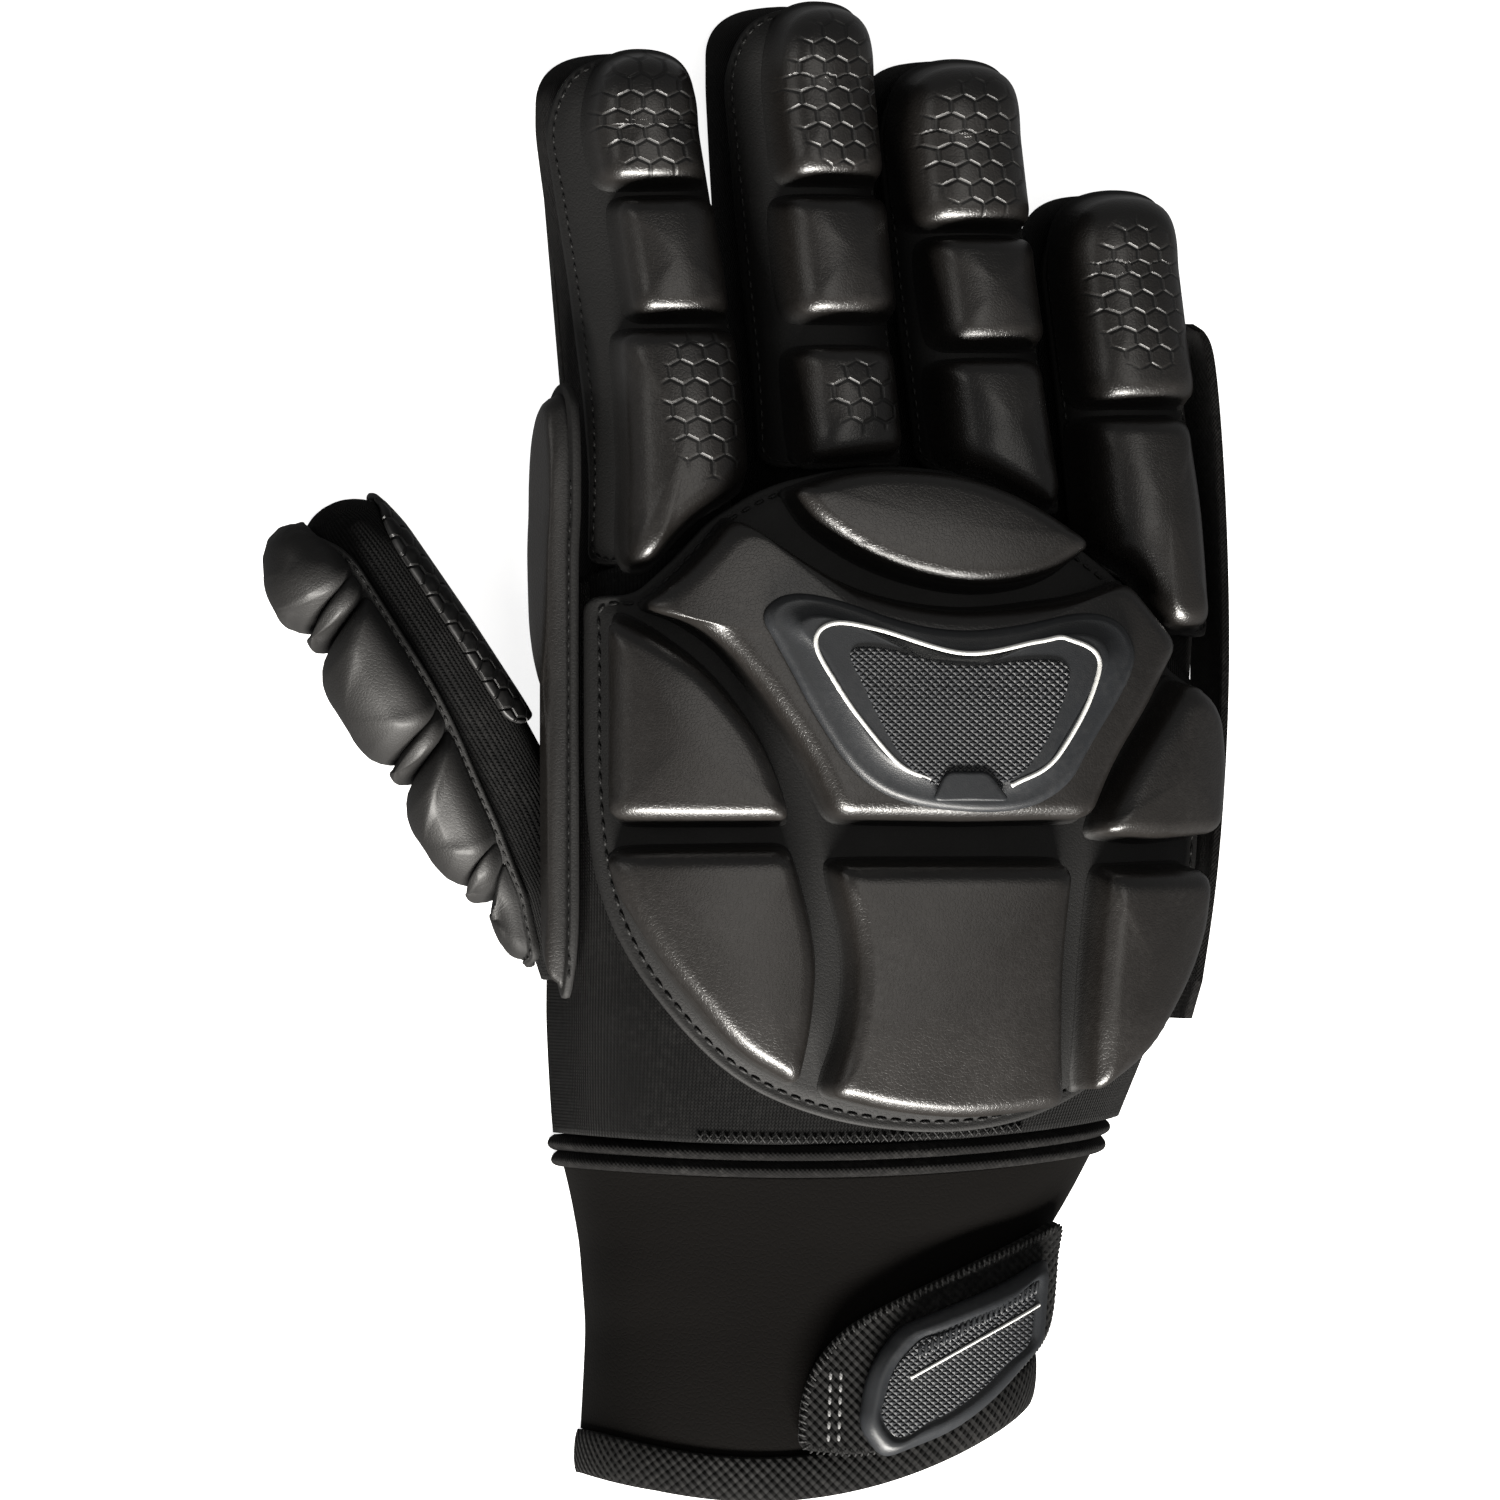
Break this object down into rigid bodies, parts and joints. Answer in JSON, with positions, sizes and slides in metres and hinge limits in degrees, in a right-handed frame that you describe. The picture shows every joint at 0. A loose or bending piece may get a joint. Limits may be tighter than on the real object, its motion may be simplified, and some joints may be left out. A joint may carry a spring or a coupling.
{
  "type": "indoor hockey glove",
  "caption": "Padded indoor hockey glove for one hand, lying palm down, with raised foam blocks on the back, an open cuff and a closing strap.",
  "frame": {"origin": "middle of the outline's box, on the surface that the palm lies on", "axes": "+X towards the little finger, +Y towards the fingertips, +Z out of the back of the hand"},
  "size_m": [0.1698, 0.254, 0.0479],
  "materials": {
    "pad_skin": "satin synthetic leather over moulded foam",
    "stretch_fabric": "matte ribbed knit",
    "palm_leather": "soft embossed",
    "neoprene": "matte knit-faced foam",
    "webbing": "matte twill",
    "badge_rubber": "matte moulded"
  },
  "bodies": {
    "root": {"palm_panel": "palm_leather", "hand_sleeve": "stretch_fabric", "index_sleeve": "stretch_fabric", "middle_sleeve": "stretch_fabric", "ring_sleeve": "stretch_fabric", "little_sleeve": "stretch_fabric", "index_pad": "pad_skin", "middle_pad": "pad_skin", "ring_pad": "pad_skin", "little_pad": "pad_skin", "back_pad": "pad_skin", "back_badge": "badge_rubber", "thumb_sleeve": "stretch_fabric", "thumb_leather": "palm_leather", "thumb_pad": "pad_skin", "index_side_pad": "pad_skin", "little_side_guard": "stretch_fabric", "wrist_seam": "stretch_fabric", "cuff": "neoprene", "cuff_hem": "webbing", "strap": "webbing", "strap_tab": "badge_rubber"}
  },
  "joints": []
}
